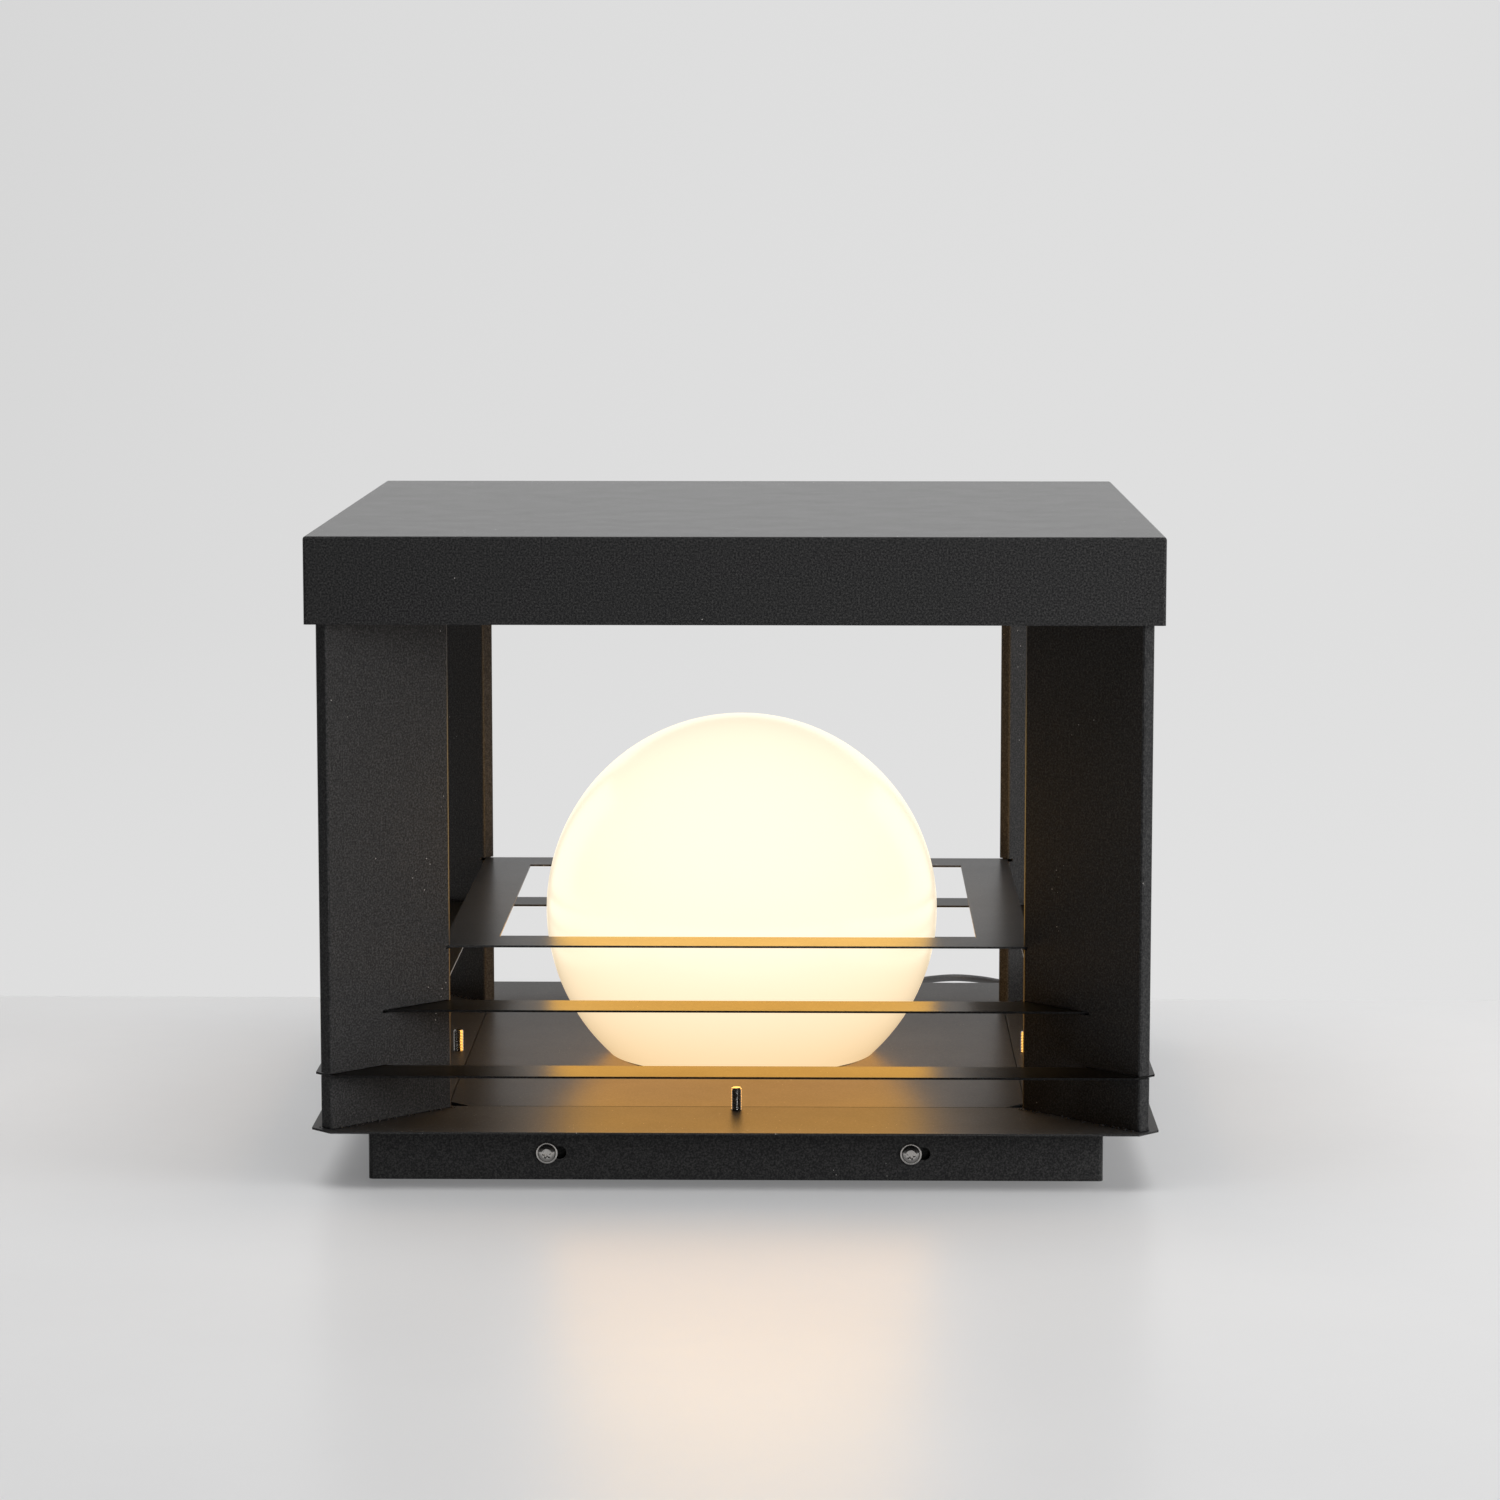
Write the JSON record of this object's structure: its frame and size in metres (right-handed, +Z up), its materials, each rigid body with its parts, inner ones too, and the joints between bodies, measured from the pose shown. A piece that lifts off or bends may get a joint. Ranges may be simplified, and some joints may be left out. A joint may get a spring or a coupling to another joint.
{
  "type": "post-top lantern",
  "caption": "Square black sheet-metal pillar lantern: flat roof, diagonal corner posts, stepped louvre rings and an opal globe that lights it from inside.",
  "frame": {"origin": "centre of the foot on the surface the lantern stands on", "axes": "+Z up, -Y the side seen from the front, +X to its right; the cord leaves at the rear, +Y"},
  "size_m": [0.4, 0.5628, 0.309],
  "materials": {
    "black_powder_coat": "fine sand-texture black powder coat",
    "galvanised_sheet": "galvanised",
    "stainless_steel": "bright stainless",
    "opal_glass": "opal, lit from inside",
    "bulb_glass": "frosted, lit",
    "nickel_brass": "nickel plated",
    "porcelain": "glazed porcelain",
    "silicone": "matt",
    "terminal_plastic": "moulded",
    "black_plastic": "moulded, matt",
    "cable_sheath": "extruded, matt",
    "core_brown": "extruded",
    "core_blue": "extruded",
    "core_green": "extruded"
  },
  "bodies": {
    "base": {"cage_bolt_front": "stainless_steel", "cage_bolt_left": "stainless_steel", "cage_bolt_rear": "stainless_steel", "cage_bolt_right": "stainless_steel", "clamp_screw_left": "stainless_steel", "clamp_screw_right": "stainless_steel", "collar_screw_1": "stainless_steel", "collar_screw_2": "stainless_steel", "collar_screw_3": "stainless_steel", "cord_clamp": "black_plastic", "cord_coil": "cable_sheath", "cord_tail": "cable_sheath", "cord_tie": "black_plastic", "core_blue": "core_blue", "core_brown": "core_brown", "core_green": "core_green", "foot_skirt": "black_powder_coat", "globe_collar": "galvanised_sheet", "globe_gasket": "silicone", "holder_screw_left": "stainless_steel", "holder_screw_right": "stainless_steel", "inner_lead": "cable_sheath", "lamp_lead": "cable_sheath", "lamp_plate": "black_powder_coat", "lampholder": "porcelain", "mount_tray": "black_powder_coat", "side_screw_front_a": "stainless_steel", "side_screw_front_b": "stainless_steel", "side_screw_left_a": "stainless_steel", "side_screw_left_b": "stainless_steel", "side_screw_rear_a": "stainless_steel", "side_screw_rear_b": "stainless_steel", "side_screw_right_a": "stainless_steel", "side_screw_right_b": "stainless_steel", "strain_relief": "black_plastic", "supply_cord": "cable_sheath", "terminal_block": "terminal_plastic"},
    "cage": {"base_ring_plate": "black_powder_coat", "louvre_ring_lower": "black_powder_coat", "louvre_ring_middle": "black_powder_coat", "louvre_ring_upper": "black_powder_coat", "post_front_left": "black_powder_coat", "post_front_right": "black_powder_coat", "post_rear_left": "black_powder_coat", "post_rear_right": "black_powder_coat", "roof_cap": "black_powder_coat", "roof_frame": "black_powder_coat", "roof_screw_front": "stainless_steel", "roof_screw_left": "stainless_steel", "roof_screw_rear": "stainless_steel", "roof_screw_right": "stainless_steel"},
    "globe": {"globe": "opal_glass"},
    "bulb": {"bulb_cap": "nickel_brass", "bulb_glass": "bulb_glass"}
  },
  "joints": [
    {"name": "cage_lift", "type": "slide", "parent": "base", "child": "cage", "axis": [0, 0, 1], "range_m": [0, 0.18]},
    {"name": "globe_lift", "type": "slide", "parent": "base", "child": "globe", "axis": [0, 0, 1], "range_m": [0, 0.1]},
    {"name": "bulb_turn", "type": "hinge", "parent": "base", "child": "bulb", "pos_m": [0, 0, 0.06], "axis": [0, 0, 1], "range_deg": [0, 900]}
  ]
}
